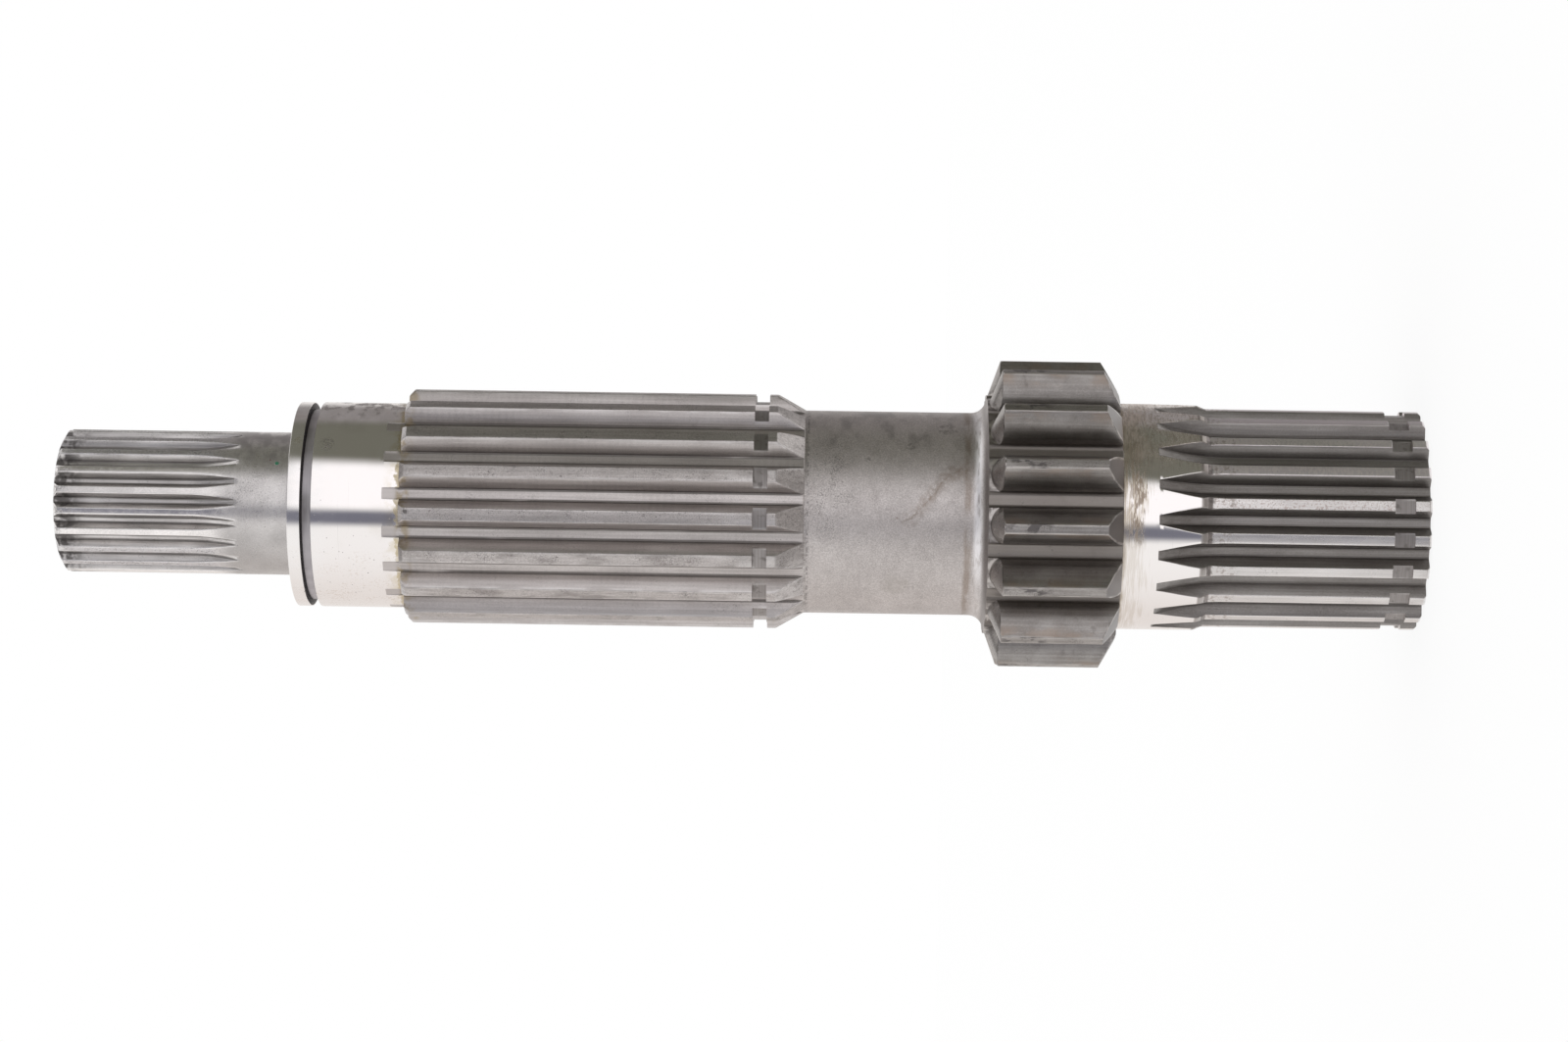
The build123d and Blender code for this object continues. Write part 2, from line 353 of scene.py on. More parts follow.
def shape_gear():
    plain_rings("lower_journal", [(73, LOWER_JOURNAL)], 240)
    plain_rings("gear_end", [(GEAR_LOW, LOWER_JOURNAL + 0.2)], 240)
    face, cone_length = 30.5, 4.0
    cone_top = GEAR_LOW + cone_length
    gear_face_ring(GEAR_LOW, face - 0.1, 28.1)
    cone = [(GEAR_LOW + cone_length * share, face + (GEAR_TIP - face) * share)
            for share in (0.1, 0.25, 0.4, 0.55, 0.7, 0.85)]
    gear_rings("gear_end", [(GEAR_LOW, face - 0.1), (GEAR_LOW + 0.07, face + 0.08), *cone,
                            (cone_top - 0.07, GEAR_TIP - 0.13), (cone_top, GEAR_TIP - 0.04)])
    gear_rings("gear", at_heights(GEAR_TIP, cone_top + 0.12, 84, 91, 98, 101.35))
    slope = (101.6, 101.75, 101.9, 102.1, 102.3, 102.5, 102.75, 103, 103.3, 103.6, 103.9, 104.15, 104.35,
             104.5, 104.58, 104.6)
    gear_rings("gear_end", [*at_heights(GEAR_TIP, *slope), (GEAR_HIGH - 0.03, END_FLOOR),
                            (GEAR_HIGH, END_FLOOR - 0.04)])
    gear_face_ring(GEAR_HIGH, END_FLOOR - 0.04, 28.42)


def fillet(foot, radius, size, *degrees):
    """A turned fillet between a face at a height and a cylinder above it."""
    return [(foot + size - size * cos(radians(d)), radius + size - size * sin(radians(d))) for d in degrees]


def shape_neck():
    plain_rings("neck", fillet(GEAR_HIGH, NECK, 3.7, 0, 9, 20, 32, 45, 58, 70, 81, 90))
    plain_rings("neck", at_heights(NECK, 112, 118, 124, 130, 136, 142, 146, 148.2))


def shape_middle():
    low, high, tip, slope = 148.8, MIDDLE["full"], MIDDLE["tip"], tan(radians(30))
    cone = [(low + (r - NECK) / slope, r)
            for r in (24.83, 24.86, 24.9, 25.0, 25.2, 25.5, 25.9, 26.4, 27.0, 27.6, 28.1)]
    cone_top, ring, ring_low, ring_high = 155.51, 26.6, 157.61, 161.01
    spline_rings(MIDDLE, "middle_spline", [
        (low - 0.1, NECK), (low + 0.1, NECK + 0.1 * slope), *cone, (cone_top, tip, 0.2),
        (ring_low, tip, 0.13), (ring_low, ring)])
    spline_rings(MIDDLE, "middle_groove", [(ring_low, ring), (ring_high, ring)], True)
    chamfer = 1.1
    spline_rings(MIDDLE, "middle_spline", [
        (ring_high, ring), (ring_high, tip, 0.13), *at_heights(tip, 175, 190, 205, 220, 235),
        (high - chamfer, tip, 0.2), (high, tip - chamfer, 0.15), (high, UPPER_JOURNAL)])
    run_out = high, 245.9, 246.6, 247.3, 247.9, 248.4, 248.8, 249.1, 249.3, 249.4, 249.5
    spline_rings(MIDDLE, "upper_tips", at_heights(UPPER_JOURNAL, *run_out), True)


def shape_upper_journal():
    low, high, floor, step, collar = 266.51, 269.11, 23.25, 0.2, 24.95
    plain_rings("upper_journal", [*at_heights(UPPER_JOURNAL, 250.4, 254, 260), (low, UPPER_JOURNAL, 0.15),
                                  (low, UPPER_JOURNAL - step)])
    plain_rings("collar_groove", [(low, UPPER_JOURNAL - step), (low, floor, 0.12), (high, floor, 0.12),
                                  (high, collar - step)])
    plain_rings("upper_journal", [(high, collar - step), (high, collar, 0.12), (COLLAR_HIGH, collar, 0.2),
                                  (COLLAR_HIGH, 19.5)])


def shape_upper_end():
    tip, top = UPPER["tip"], 330.01
    plain_rings("shank", fillet(COLLAR_HIGH, tip, 0.9, 0, 22, 45, 68, 90))
    plain_rings("shank", at_heights(tip, 276, 280, 284, 285.2))
    run_out = (286.1, 286.21, 286.4, 286.7, 287.1, 287.7, 288.4, 289.2, 290.1, 291.1, 292.2, 293.4, 294.7,
               296, UPPER["full"])
    chamfer_length, chamfer_depth = 1.15, 2.0
    spline_rings(UPPER, "shank", [
        *at_heights(tip, *run_out, 304, 311, 318, 323, 326), (top - chamfer_length, tip, 0.2),
        (329.2, 16.86), (329.55, 16.25), (329.8, 15.815), (top, tip - chamfer_depth, 0.12), (top, 14.9)])
    plain_rings("end", [(top, 11), (top, 6)])
    # the lathe centre
    pilot, pilot_depth, mouth, cone_depth = 1.6, 9, 4.25, 4.59
    plain_rings("end", [(top, 4.6), (top, mouth, 0.12), (top - cone_depth, pilot), (top - pilot_depth, pilot),
                        (top - pilot_depth, AXIS)], 96)


def join(faces, kinds, starts, n):
    """Add the faces between ring n and the next, and the highest index among each face's corners."""
    (lower, _, _), (upper, _, _) = rings[n], rings[n + 1]
    a0, b0, na, nb = starts[n], starts[n + 1], len(lower), len(upper)
    if na == nb:
        for j in range(na):
            k = (j + 1) % na
            faces.append((a0 + j, a0 + k, b0 + k, b0 + j))
            kinds.append(max(lower[j][3], lower[k][3], upper[j][3], upper[k][3]))
        return
    # rings of different counts: walk both by angle, and close them with triangles
    base = lower[0][0]
    start = min(range(nb), key=lambda i: abs((upper[i][0] - base + pi) % (2 * pi) - pi))
    turns_a = [point[0] - base for point in lower] + [2 * pi]
    turns_b = [(upper[(start + i) % nb][0] - base + pi) % (2 * pi) - pi for i in range(nb)]
    for i in range(1, nb):
        while turns_b[i] < turns_b[i - 1] - 1e-9:
            turns_b[i] += 2 * pi
    turns_b.append(turns_b[0] + 2 * pi)
    i = j = 0
    while i < na or j < nb:
        a, b = a0 + i % na, b0 + (start + j) % nb
        if j >= nb or (i < na and turns_a[i + 1] <= turns_b[j + 1]):
            faces.append((a, a0 + (i + 1) % na, b))
            i += 1
        else:
            faces.append((a, b0 + (start + j + 1) % nb, b))
            j += 1
        kinds.append(PLAIN)


def build_mesh():
    shape_lower_end()
    shape_gear()
    shape_neck()
    shape_middle()
    shape_upper_journal()
    shape_upper_end()
    places, faces, kinds, slots, edges, roots, starts = [], [], [], [], [], [], []
    for points, zone, worn in rings:
        parts = parts_of(zone)
        starts.append(len(places))
        for angle, radius, z, index in points:
            places.append((radius * cos(angle) * MM, radius * sin(angle) * MM, z * MM))
            edges.append(float(index in parts["edge"] or (worn and index > parts["slot"])))
            roots.append(float(index in parts["root"]))
    for n in range(len(rings) - 1):
        join(faces, kinds, starts, n)
        zone = rings[n + 1][1]
        slot, land = (MATERIALS.index(name) for name in ZONES[zone])
        slots += [slot if kind <= parts_of(zone)["slot"] else land for kind in kinds[len(slots):]]
    mesh = bpy.data.meshes.new("shaft_body")
    mesh.from_pydata(places, [], faces)
    mesh.polygons.foreach_set("material_index", slots)
    for name, values in (("edge", edges), ("root", roots)):
        mesh.attributes.new(name, "FLOAT", "POINT").data.foreach_set("value", values)
    return mesh


def build_shaft():
    mesh = build_mesh()
    bm = bmesh.new()
    bm.from_mesh(mesh)
    bmesh.ops.remove_doubles(bm, verts=bm.verts, dist=WELD)
    bmesh.ops.dissolve_degenerate(bm, edges=bm.edges, dist=WELD / 2)
    bmesh.ops.recalc_face_normals(bm, faces=bm.faces)
    bm.to_mesh(mesh)
    bm.free()
    mesh.shade_smooth()
    mesh.set_sharp_from_angle(angle=radians(SHARP_ANGLE))
    for name in MATERIALS:
        mesh.materials.append(FINISHES[name]())
    shaft = placed("shaft_body", mesh)
    weighted = shaft.modifiers.new("weighted", "WEIGHTED_NORMAL")
    weighted.keep_sharp = True
    weighted.weight = 80
    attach(shaft, "root")
    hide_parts("splined_shaft")


# ----------------------------------------
# Finishes. Angles about the shaft count from the -Y side towards +X, in degrees.

# dark soot, which also serves as painted shade in the shank's corner by the collar
SOOT_AND_SHADE = (0.105, 0.094, 0.090)
OIL = (0.42, 0.35, 0.2)


def steel(value):
    """Bare steel of a brightness: a little warmer than grey."""
    return value, value * 0.955, value * 0.935


def warm_steel(value):
    """Bare steel with a trace of oil: a warmer grey."""
    return value, value * 0.925, value * 0.895


class Finish:
    """A steel material, built up in layers from noise in the shaft's own axes."""

    def __init__(self, name, colour, roughness):
        self.material = bpy.data.materials.new(name)
        self.material.use_nodes = True
        self.tree = self.material.node_tree
        self.shader = self.tree.nodes["Principled BSDF"]
        self.shader.inputs["Metallic"].default_value = 1.0
        self.place = self.node("TexCoord").outputs["Object"]
        self.axes = self.node("SeparateXYZ", self.place).outputs
        self.colour = (*colour, 1.0)
        self.roughness = roughness
        self.height = 0.0
        self.seed = 0

    def feed(self, socket, value):
        """Set a socket to a value, or link it to another node's output."""
        if isinstance(value, bpy.types.NodeSocket):
            self.tree.links.new(value, socket)
        else:
            socket.default_value = value

    def node(self, kind, *values, **settings):
        """A node with its settings, and with its first inputs fed."""
        made = self.tree.nodes.new("ShaderNode" + kind)
        for key, value in settings.items():
            setattr(made, key, value)
        for socket, value in zip(made.inputs, values):
            self.feed(socket, value)
        return made

    def math(self, operation, *values):
        return self.node("Math", *values, operation=operation).outputs[0]

    def scaled(self, value, factor, base):
        """The value times the factor, plus the base."""
        return self.math("MULTIPLY_ADD", value, factor, base)

    def step(self, value, low, high):
        """0 below low and 1 above high, eased between. Low may be the larger."""
        return self.node("MapRange", value, low, high, 0.0, 1.0, interpolation_type="SMOOTHSTEP").outputs[0]

    def stretched(self, size, around, along):
        """The shaft's axes in units of a feature's size, drawn out around the shaft or along it."""
        self.seed += 1
        across = 1 / (size * around * MM)
        up = 1 / (size * along * MM)
        shift = (3.7 * self.seed, 1.3 * self.seed, 2.9 * self.seed)
        return self.node("Mapping", self.place, shift, (0, 0, 0), (across, across, up)).outputs[0]

    def noise(self, size, around=1, along=1, detail=2):
        return self.node("TexNoise", self.stretched(size, around, along), 0.0, 1.0, detail).outputs["Fac"]

    def patch(self, size, low, high, around=1, along=1, detail=2):
        """1 where a noise is above high and 0 where it is below low, or the other way round."""
        return self.step(self.noise(size, around, along, detail), low, high)

    def dots(self, spacing, radius, share):
        """Small round marks, one to each cell of the spacing in a share of the cells."""
        cells = self.node("TexVoronoi", self.stretched(spacing, 1, 1), 0.0, 1.0)
        picked = self.node("SeparateColor", cells.outputs["Color"]).outputs
        size = self.math("MULTIPLY", picked[1], radius / spacing)
        inside = self.math("SUBTRACT", size, cells.outputs["Distance"])
        return self.math("MULTIPLY", self.step(inside, 0.0, 0.06), self.math("LESS_THAN", picked[0], share))

    def across(self):
        """The way from the shaft's axis to the place, as a vector."""
        return self.node("CombineXYZ", self.axes[0], self.axes[1], 0.0).outputs[0]

    def radius_mm(self):
        length = self.node("VectorMath", self.across(), operation="LENGTH").outputs["Value"]
        return self.math("DIVIDE", length, MM)

    def height_mm(self):
        return self.math("MULTIPLY", self.axes[2], 1 / MM)

    def zone(self, low, high, soft):
        """1 between two heights."""
        z = self.height_mm()
        return self.both(self.step(z, low - soft, low + soft), self.step(z, high + soft, high - soft))

    def side(self, angle, width, soft):
        """1 within width of a direction about the shaft."""
        a = radians(angle)
        unit = self.node("VectorMath", self.across(), operation="NORMALIZE").outputs[0]
        near = self.node("VectorMath", unit, (sin(a), -cos(a), 0.0), operation="DOT_PRODUCT")
        return self.step(near.outputs["Value"], cos(radians(min(width + soft, 179))), cos(radians(width)))

    def spot(self, angle, radius, z, size, ragged):
        """1 within size of a point on the shaft, with a ragged edge."""
        a = radians(angle)
        point = (radius * sin(a) * MM, -radius * cos(a) * MM, z * MM)
        far = self.node("VectorMath", self.place, point, operation="DISTANCE").outputs["Value"]
        far = self.scaled(self.noise(size * 0.6), ragged * 2 * size, self.math("DIVIDE", far, MM))
        return self.step(far, size * (1 + ragged) * 1.12, size * (1 + ragged) * 0.88)

    def both(self, *masks):
        return reduce(partial(self.math, "MULTIPLY"), masks)

    def either(self, *masks):
        return reduce(partial(self.math, "MAXIMUM"), masks)

    def part(self, name):
        return self.node("Attribute", attribute_name=name).outputs["Fac"]

    def emboss(self, value, height):
        """Raise the surface by the value times a height in mm."""
        self.height = self.scaled(value, height, self.height)

    def cover(self, mask, colour, roughness=None, height=0.0, by=1.0):
        """Lay a colour, a roughness and a height (mm) over what is there, by a share, where the mask is."""
        if by != 1.0:
            mask = self.math("MULTIPLY", mask, by)
        mixed = self.node("Mix", data_type="RGBA")
        for place, value in ((0, mask), (6, self.colour), (7, (*colour, 1.0))):
            self.feed(mixed.inputs[place], value)
        self.colour = mixed.outputs[2]
        if roughness is not None:
            self.roughness = self.node("MapRange", mask, 0.0, 1.0, self.roughness, roughness).outputs[0]
        if height:
            self.emboss(mask, height)

    def shade(self, value, amount):
        """Darken and lighten with a noise, a little each way."""
        self.cover(self.step(value, 0.62, 0.35), SOOT_AND_SHADE, by=amount)
        self.cover(self.step(value, 0.45, 0.72), (1.0, 0.98, 0.97), by=amount * 0.5)

    def rub(self, value, amount):
        """Vary the roughness with a noise."""
        varied = self.node("MapRange", value, 0.3, 0.7, -amount, amount).outputs[0]
        self.roughness = self.math("ADD", self.roughness, varied)

    def pits(self, size, share, where=None, colour=SOOT_AND_SHADE, depth=0.015, by=0.6):
        """Clusters of small dark pits."""
        fine = self.noise(size)
        level = self.scaled(self.noise(size * 20), 0.4, fine)
        limit = 0.96 - 0.25 * share
        mask = self.step(level, limit, limit + 0.13)
        if where is not None:
            mask = self.both(mask, where)
        self.cover(mask, colour, 0.55, -depth, by)

    def squiggles(self, size, where, by):
        """Short wandering scratches: where a noise crosses its middle, in patches."""
        line = self.math("ABSOLUTE", self.math("SUBTRACT", self.noise(size, detail=1), 0.5))
        patch = self.patch(size * 2.5, 0.56, 0.64)
        self.cover(self.both(self.step(line, 0.018, 0.004), patch, where), SOOT_AND_SHADE, 0.5, -0.01, by)

    # worn bright edges, and painted highlight along the rounded edges
    def worn_edges_and_highlights(self, by, colour=(0.88, 0.86, 0.85), roughness=0.22):
        bright = self.both(self.step(self.part("edge"), 0.25, 0.9), self.patch(2.2, 0.32, 0.6, along=3))
        self.cover(bright, colour, roughness, by=by)

    # dirt and painted shade along the slots' roots: a dark line in each corner at the root
    def root_dirt_and_shade(self, by):
        dark = self.both(self.step(self.part("root"), 0.2, 0.9), self.patch(3, 0.15, 0.45, along=6))
        self.cover(dark, (0.1, 0.09, 0.08), 0.55, by=by)

    def finish(self):
        least, most = 0.04, 0.9
        limited = self.math("MINIMUM", self.math("MAXIMUM", self.roughness, least), most)
        bump = self.node("Bump")
        for socket, value in (("Strength", 1.0), ("Distance", MM), ("Height", self.height)):
            self.feed(bump.inputs[socket], value)
        looks = {"Base Color": self.colour, "Roughness": limited, "Normal": bump.outputs[0]}
        for socket, value in looks.items():
            self.feed(self.shader.inputs[socket], value)
        return self.material


def grain(f, size, height, amount, around=1, along=1):
    """Fine grain of a satin surface, which may be drawn out into lines."""
    fine = f.noise(size, around, along, detail=3)
    f.emboss(fine, height)
    f.shade(fine, amount)


def turned_lines(f, size, height, amount):
    """Fine lines left by turning or grinding, around the shaft."""
    grain(f, size, height, amount, around=90)


def drawn_lines(f, size, height, amount):
    """Fine lines along the shaft."""
    grain(f, size, height, amount, along=45)


def hob_marks(f, height, amount):
    """Feed marks of the hob: a faint wave along the cut surfaces."""
    feed = 1.7 * MM
    wander = f.scaled(f.noise(9), 4.0, f.math("MULTIPLY", f.axes[2], 2 * pi / feed))
    wave = f.scaled(f.math("SINE", wander), 0.5, 0.5)
    f.cover(f.both(wave, f.patch(11, 0.4, 0.62, along=2)), SOOT_AND_SHADE, by=amount)
    f.emboss(wave, height)


FINISHES = {}


def finish(colour, roughness):
    """Makes a function's layers into the finish of its name, on steel of a colour and a roughness."""
    def keep(layers):
        def make():
            f = Finish(layers.__name__, colour, roughness)
            layers(f)
            return f.finish()
        FINISHES[layers.__name__] = make
        return layers
    return keep


def ground(f):
    """Fine grinding lines of a bearing seat."""
    lines = f.noise(0.22, around=120, detail=3)
    f.emboss(lines, 0.0006)
    f.rub(f.noise(6, around=3), 0.02)
    f.cover(f.step(lines, 0.66, 0.8), (0.62, 0.6, 0.58), 0.16, by=0.5)


@finish(steel(0.88), 0.085)
def upper_journal(f):
    ground(f)
    # dirt on the top side, in ragged patches
    crust = f.both(f.side(84, 18, 12), f.patch(2.4, 0.46, 0.6, around=1.7, detail=5))
    haze = f.both(f.side(84, 30, 14), f.patch(6, 0.3, 0.6, around=1.5, detail=4))
    f.cover(haze, (0.6, 0.56, 0.53), 0.24, by=0.5)
    f.cover(f.both(crust, f.zone(246, 266, 0.8)), (0.22, 0.19, 0.18), 0.5, 0.01, 0.75)
    # dark specks, most of them low on the side that faces -Y
    low = f.either(f.side(-36, 26, 16), f.side(120, 40, 20))
    f.cover(f.both(f.dots(0.8, 0.2, 0.5), low, f.patch(4.5, 0.5, 0.6)), SOOT_AND_SHADE, 0.6, -0.01, 0.8)
    f.cover(f.both(f.dots(1.9, 0.2, 0.35), f.patch(9, 0.45, 0.62)), SOOT_AND_SHADE, 0.6, -0.01, 0.7)
    dust = f.both(f.side(-64, 26, 16), f.patch(0.5, 0.52, 0.64, detail=4),
                  f.patch(5, 0.42, 0.6, detail=3))
    f.cover(dust, (0.66, 0.57, 0.5), 0.3, by=0.5)
    mark = f.patch(0.6, 0.46, 0.58, detail=3)
    f.cover(f.both(mark, f.spot(35, UPPER_JOURNAL, 263.3, 1.7, 0.8)), (0.3, 0.27, 0.24), 0.45, by=0.7)
    f.cover(f.both(mark, f.spot(37, UPPER_JOURNAL, 270.6, 1.1, 0.8)), OIL, 0.4, by=0.7)
    # oil burnt on in a ring beside the spline, ragged towards the journal
    z = f.height_mm()
    ragged = f.scaled(f.noise(1.3, detail=4), 2.4, 245.25)
    ring = f.step(f.math("SUBTRACT", ragged, z), -0.1, 0.4)
    patchy = f.patch(2.6, 0.2, 0.42, detail=3)
    f.cover(f.both(ring, patchy), (0.46, 0.37, 0.2), 0.4, by=0.75)
    film = f.both(f.zone(245, 248.0, 1.8), f.patch(3, 0.42, 0.62, detail=3))
    f.cover(film, (0.66, 0.57, 0.4), 0.16, by=0.5)
    f.cover(f.patch(14, 0.58, 0.75, detail=2), (0.72, 0.66, 0.6), 0.12, by=0.35)
    f.worn_edges_and_highlights(0.4)


@finish(steel(0.88), 0.085)
def lower_journal(f):
    ground(f)
    z = f.height_mm()
    near_gear = f.step(z, 62.5, 71.0)
    # fine scratches around the journal, thickest beside the gear, brown with old oil
    rub = f.noise(0.3, around=22, detail=4)
    patch = f.scaled(f.noise(5.0, around=1.6, detail=3), 0.5, f.math("MULTIPLY", near_gear, 0.36))
    level = f.scaled(rub, 0.9, patch)
    turned = f.either(f.side(44, 46, 16), f.side(165, 40, 25))
    worn = f.both(f.step(level, 0.9, 1.14), f.scaled(turned, 0.55, 0.4))
    f.cover(worn, (0.5, 0.42, 0.31), 0.26, 0.003, 0.8)
    flaky = f.scaled(f.noise(0.35, around=6, detail=3), 0.9, patch)
    spread = f.either(f.side(16, 22, 12), f.side(160, 35, 25))
    flakes = f.both(f.step(flaky, 1.02, 1.12), spread, f.zone(61, 71.5, 2.0))
    f.cover(flakes, (0.3, 0.22, 0.16), 0.5, 0.006, 0.7)
    cloudy = f.patch(6, 0.25, 0.6, detail=4)
    film = f.both(f.side(66, 34, 12), cloudy, f.scaled(near_gear, 0.25, 0.75))
    f.cover(film, (0.76, 0.665, 0.6), 0.38, by=0.9)
    worn_film = f.both(f.side(66, 34, 12), f.patch(0.5, 0.44, 0.64, around=5, detail=4))
    f.cover(worn_film, (0.42, 0.36, 0.305), 0.36, by=0.6)
    flecks = f.both(f.side(60, 30, 12), f.zone(53, 66, 3.0), f.patch(0.45, 0.52, 0.66, detail=4))
    f.cover(flecks, (0.9, 0.84, 0.84), 0.34, by=0.4)
    upper = f.either(f.side(72, 30, 12), f.side(150, 45, 20))
    specks = f.both(f.patch(0.42, 0.5, 0.66, around=1.8, detail=5), upper, f.patch(3.2, 0.36, 0.6, detail=4))
    f.cover(specks, (0.34, 0.29, 0.225), 0.42, -0.003, 0.55)
    ring = f.both(f.step(z, 71.8, 73.0), f.patch(2.5, 0.35, 0.6, around=3))
    f.cover(ring, (0.36, 0.29, 0.2), 0.45, by=0.7)
    f.cover(f.both(f.dots(1.5, 0.2, 0.25), f.patch(7, 0.45, 0.6)), SOOT_AND_SHADE, 0.6, -0.01, 0.7)
    # painted dark reflection: the crown cone is darkened
    f.cover(f.zone(53.0, 54.6, 0.25), (0.28, 0.25, 0.23), 0.4, by=0.75)


@finish((0.31, 0.295, 0.3), 0.42)
def collar_groove(f):
    turned_lines(f, 0.25, 0.004, 0.15)
    f.cover(f.patch(2.5, 0.5, 0.68, around=4, detail=3), (0.14, 0.12, 0.11), 0.6, by=0.35)
    f.cover(f.patch(9, 0.2, 0.6), (0.62, 0.585, 0.61), 0.5, by=0.8)
    # painted shade: the collar's wall dark, the floor beside it nearly black, and the corner at the journal's
    # side dark
    f.cover(f.zone(268.98, 270, 0.08), (0.16, 0.15, 0.15), 0.5)
    f.cover(f.zone(268.72, 269.06, 0.14), (0.03, 0.027, 0.027), 0.6, by=0.95)
    f.cover(f.zone(266, 266.6, 0.05), (0.09, 0.08, 0.08), 0.6)


@finish(warm_steel(0.31), 0.4)
def ring_groove(f):
    turned_lines(f, 0.16, 0.005, 0.16)
    f.cover(f.patch(1.6, 0.56, 0.7, detail=3), (0.15, 0.135, 0.125), 0.6, by=0.5)
    f.worn_edges_and_highlights(0.25)


@finish(steel(0.75), 0.3)
def shank(f):
    # painted shade: the side towards -X is darker
    f.cover(f.side(-75, 42, 26), steel(0.5), by=0.9)
    spline = f.zone(290, 331, 3.0)
    f.cover(spline, steel(0.93), 0.2)
    f.shade(f.noise(7, detail=3), 0.12)
    grain(f, 0.26, 0.003, 0.12)
    f.rub(f.noise(1.1, detail=3), 0.04)
    # pitting on the shank, between the slots' tips and the collar, and on the lands above and below
    bare = f.zone(273.5, 289.0, 2.0)
    f.pits(0.2, 0.5, bare, depth=0.006, by=0.35)
    dense = f.both(bare, f.either(f.side(12, 20, 14), f.side(-150, 40, 20)))
    f.pits(0.26, 0.74, dense, (0.19, 0.18, 0.18), depth=0.010, by=0.45)
    f.cover(f.both(f.dots(0.6, 0.12, 0.5), bare, f.patch(3, 0.45, 0.58)), SOOT_AND_SHADE, 0.5, -0.01, 0.8)
    rough_lands = f.both(spline, f.either(f.side(62, 26, 10), f.side(-56, 12, 8), f.side(150, 50, 20)))
    f.cover(rough_lands, (0.46, 0.44, 0.45), 0.34, by=0.7)
    f.pits(0.3, 0.95, rough_lands, (0.15, 0.14, 0.14), depth=0.03, by=0.7)
    f.cover(f.both(rough_lands, f.patch(0.4, 0.5, 0.64, along=2, detail=4)), (0.72, 0.7, 0.72), 0.3,
            0.012, 0.5)
    f.squiggles(1.0, rough_lands, 0.7)
    # the free end is bruised and dirty
    z = f.height_mm()
    end = f.both(f.step(z, 324.5, 328.8), f.patch(1.0, 0.5, 0.62, detail=4))
    f.cover(end, (0.2, 0.18, 0.175), 0.5, -0.03, 0.7)
    # a dark smear on the upper side beside the tips, and painted shade in the corner where the shank meets
    # the collar
    smear = f.both(bare, f.side(68, 26, 12), f.patch(3.4, 0.34, 0.6, around=1.5, detail=4))
    f.cover(smear, (0.26, 0.24, 0.24), 0.4, by=0.55)
    # painted shade in soot colour, in the corner by the collar
    f.cover(f.both(f.zone(271.8, 273.3, 0.3), f.patch(1.8, 0.4, 0.6, around=3)), SOOT_AND_SHADE, 0.6, by=0.5)
    f.cover(f.spot(33.5, UPPER["tip"], 276.2, 0.5, 0.5), (0.05, 0.36, 0.2), 0.45, 0.02, 0.9)
    f.cover(f.spot(36.5, UPPER["tip"], 277.9, 0.22, 0.3), (0.22, 0.08, 0.07), 0.5, 0.01, 0.7)
    f.worn_edges_and_highlights(0.55)


@finish(steel(0.71), 0.32)
def upper_slot(f):
    drawn_lines(f, 0.5, 0.005, 0.25)
    f.shade(f.noise(4, along=3, detail=3), 0.2)
    f.pits(0.22, 0.6, depth=0.012)
    f.root_dirt_and_shade(0.65)
    z = f.height_mm()
    end = f.both(f.step(z, 321.5, 327.5), f.patch(1.6, 0.36, 0.55, detail=4))
    f.cover(end, (0.12, 0.11, 0.105), 0.55, -0.02, 0.85)
    f.worn_edges_and_highlights(0.8, (0.9, 0.87, 0.86), 0.2)


@finish(warm_steel(0.55), 0.38)
def middle_land(f):
    f.shade(f.noise(11, along=2, detail=3), 0.1)
    drawn_lines(f, 0.4, 0.003, 0.13)
    grain(f, 0.28, 0.006, 0.19)
    f.rub(f.noise(1.4, along=3, detail=3), 0.03)
    f.pits(0.24, 0.74, depth=0.012, by=0.6)
    f.squiggles(1.0, f.patch(8, 0.38, 0.5), 0.8)
    scars = f.patch(1.1, 0.69, 0.75, along=1.8, detail=3)
    f.cover(scars, (0.15, 0.135, 0.13), 0.5, -0.02, 0.7)
    spread = f.either(f.side(-50, 26, 14), f.side(150, 60, 25))
    smudges = f.both(spread, f.patch(1.8, 0.5, 0.66, along=4, detail=4))
    f.cover(smudges, (0.23, 0.205, 0.195), 0.45, by=0.45)
    # each tooth is rubbed darker in long patches and dirty at both ends
    rubbed_and_lit = f.patch(5, 0.52, 0.7, along=7, detail=3)
    f.cover(rubbed_and_lit, (0.31, 0.29, 0.28), 0.4, by=0.4)
    ends = f.either(f.zone(240.5, 246, 1.5), f.zone(147, 156, 1.5))
    f.cover(f.both(ends, f.patch(1.2, 0.52, 0.66, detail=4)), (0.22, 0.2, 0.19), 0.5, -0.006, 0.4)
    f.cover(f.spot(-3, MIDDLE["tip"], 243.4, 0.55, 0.5), SOOT_AND_SHADE, 0.55, -0.03, 0.8)
    f.worn_edges_and_highlights(0.22)


@finish(warm_steel(0.6), 0.38)
def middle_slot(f):
    drawn_lines(f, 0.6, 0.003, 0.16)
    hob_marks(f, 0.002, 0.07)
    grain(f, 0.26, 0.003, 0.1)
    f.shade(f.noise(9, along=2.5, detail=3), 0.12)
    f.pits(0.22, 0.5, depth=0.01, by=0.5)
    f.root_dirt_and_shade(0.7)
    oily = f.both(f.zone(243.0, 246.4, 0.8), f.patch(2.2, 0.4, 0.6, detail=3))
    f.cover(oily, (0.36, 0.28, 0.16), 0.4, by=0.6)
    f.cover(f.zone(246.2, 251, 0.6), warm_steel(0.54), 0.32, by=0.8)
    f.worn_edges_and_highlights(0.3)


